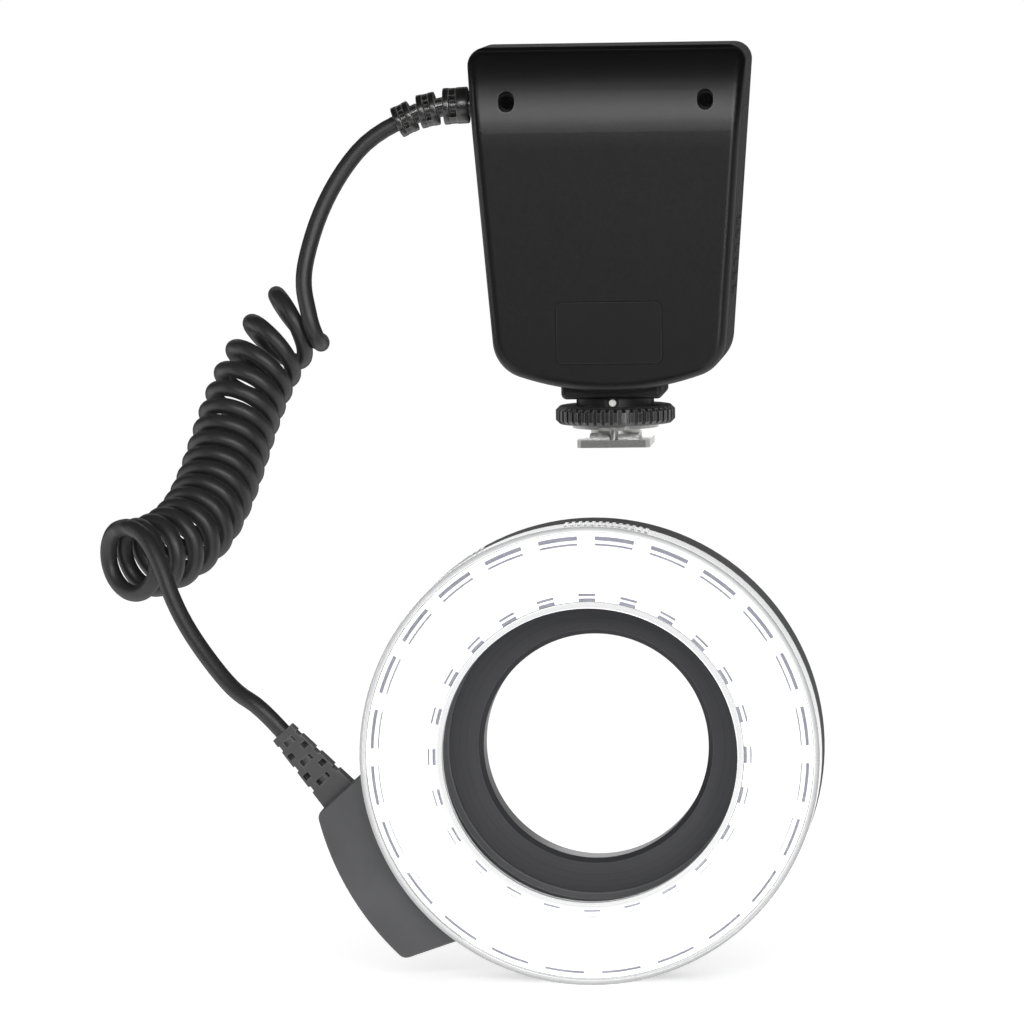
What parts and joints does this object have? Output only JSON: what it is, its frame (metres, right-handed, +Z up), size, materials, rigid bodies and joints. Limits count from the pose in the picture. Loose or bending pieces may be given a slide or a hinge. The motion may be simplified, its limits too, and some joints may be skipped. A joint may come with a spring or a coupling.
{
  "type": "led ring light",
  "caption": "Close-up ring light: a shoe-mounted battery controller with rear display and buttons, a curly cord and a ring of lights that screws into a lens.",
  "frame": {"origin": "middle of the underside of the hot shoe foot", "axes": "+Z up out of the shoe, -Y towards the subject that the lights shine at, +X to the right of someone who faces the lights"},
  "size_m": [0.1836, 0.1243, 0.2271],
  "materials": {
    "case_plastic": "fine matte grain",
    "dark_plastic": "smooth",
    "plate_plastic": "satin",
    "panel_plastic": "satin",
    "window_plastic": "clear",
    "display_glass": "flat",
    "board": "lacquered",
    "switch_metal": "tinned",
    "key_plastic": "matte",
    "lamp_lens": "clear",
    "chip_plastic": "moulded",
    "wire": "smooth",
    "cell_sleeve": "plain printed sleeve",
    "spring_steel": "plated",
    "screw_steel": "blackened",
    "foot_metal": "plated",
    "contact_brass": "gold plated",
    "wheel_plastic": "ribbed",
    "white_paint": "matte",
    "cord_rubber": "smooth satin",
    "head_plastic": "fine matte grain",
    "lights": "clear, lit",
    "reflector_white": "satin white",
    "clear_cap": "clear plastic",
    "ring_metal": "black anodised"
  },
  "bodies": {
    "controller": {"front_shell": "case_plastic", "rear_shell": "case_plastic", "shell_screws": "screw_steel", "label_plate": "plate_plastic", "rear_panel": "panel_plastic", "display_window": "window_plastic", "display_module": "display_glass", "main_board": "board", "tact_switches": "switch_metal", "switch_block": "dark_plastic", "ready_lamp": "lamp_lens", "control_chip": "chip_plastic", "boost_coil": "chip_plastic", "lead_socket": "dark_plastic", "controller_leads": "wire", "battery_tray": "dark_plastic", "battery_cells": "cell_sleeve", "contact_strip": "spring_steel", "cell_springs": "spring_steel", "foot_block": "case_plastic", "foot_bracket": "spring_steel", "bracket_screws": "screw_steel", "foot_post": "foot_metal", "foot_plate": "foot_metal", "plate_screws": "screw_steel", "index_dot": "white_paint", "contact_spring": "spring_steel", "case_boot": "cord_rubber", "cord_upper": "cord_rubber", "cord_coil": "cord_rubber", "cord_lower": "cord_rubber"},
    "battery_door": {"battery_door": "case_plastic", "door_contacts": "spring_steel"},
    "button_mode": {"button_mode": "key_plastic"},
    "button_minus": {"button_minus": "key_plastic"},
    "button_plus": {"button_plus": "key_plastic"},
    "button_light": {"button_light": "key_plastic"},
    "button_test": {"button_test": "key_plastic"},
    "power_switch": {"power_switch": "key_plastic"},
    "pressure_plate": {"pressure_plate": "foot_metal", "lock_pin": "foot_metal"},
    "lock_wheel": {"lock_wheel": "wheel_plastic"},
    "centre_contact": {"centre_contact": "contact_brass"},
    "light_head": {"head_boot": "cord_rubber", "head_leads": "wire", "head_housing": "head_plastic", "pod_cover": "head_plastic", "pod_board": "board", "pod_socket": "dark_plastic", "ring_leads": "wire", "led_board": "board", "leds_outer": "lights", "leds_inner": "lights", "reflector": "reflector_white", "keeper_ring": "head_plastic", "keeper_screws": "screw_steel"},
    "adapter_ring": {"adapter_ring": "ring_metal"},
    "diffuser_cap": {"diffuser_cap": "clear_cap"}
  },
  "joints": [
    {"name": "door_slide", "type": "slide", "parent": "controller", "child": "battery_door", "axis": [-0.0802, 0, -0.9968], "range_m": [0, 0.066]},
    {"name": "press_mode", "type": "slide", "parent": "controller", "child": "button_mode", "axis": [0, -1, 0], "range_m": [0, 0.0007], "stiffness_N_per_m": 500, "springref_m": -0.0005},
    {"name": "press_minus", "type": "slide", "parent": "controller", "child": "button_minus", "axis": [0, -1, 0], "range_m": [0, 0.0007], "stiffness_N_per_m": 500, "springref_m": -0.0005},
    {"name": "press_plus", "type": "slide", "parent": "controller", "child": "button_plus", "axis": [0, -1, 0], "range_m": [0, 0.0007], "stiffness_N_per_m": 500, "springref_m": -0.0005},
    {"name": "press_light", "type": "slide", "parent": "controller", "child": "button_light", "axis": [0, -1, 0], "range_m": [0, 0.0007], "stiffness_N_per_m": 500, "springref_m": -0.0005},
    {"name": "press_test", "type": "slide", "parent": "controller", "child": "button_test", "axis": [0, -1, 0], "range_m": [0, 0.0007], "stiffness_N_per_m": 500, "springref_m": -0.0005},
    {"name": "switch_slide", "type": "slide", "parent": "controller", "child": "power_switch", "axis": [1, 0, 0], "range_m": [0, 0.004]},
    {"name": "plate_press", "type": "slide", "parent": "controller", "child": "pressure_plate", "axis": [0, 0, -1], "range_m": [0, 0.0012]},
    {"name": "wheel_turn", "type": "hinge", "parent": "pressure_plate", "child": "lock_wheel", "pos_m": [0, 0, 0.008], "axis": [0, 0, -1], "range_deg": [0, 288]},
    {"name": "contact_press", "type": "slide", "parent": "controller", "child": "centre_contact", "axis": [0, 0, 1], "range_m": [0, 0.0008], "stiffness_N_per_m": 400, "springref_m": -0.001},
    {"name": "head_reach", "type": "slide", "parent": "controller", "child": "light_head", "axis": [0, -1, 0], "range_m": [0, 0.03], "deforming": ["cord_lower"]},
    {"name": "ring_turn", "type": "hinge", "parent": "light_head", "child": "adapter_ring", "pos_m": [0, -0.0765, -0.068], "axis": [0, 1, 0], "continuous": true},
    {"name": "cap_pull", "type": "slide", "parent": "light_head", "child": "diffuser_cap", "axis": [0, -1, 0], "range_m": [0, 0.012]}
  ],
  "couplings": [
    {"joint": "plate_press", "follows": "wheel_turn", "m_per_rad": 0.00023873}
  ]
}
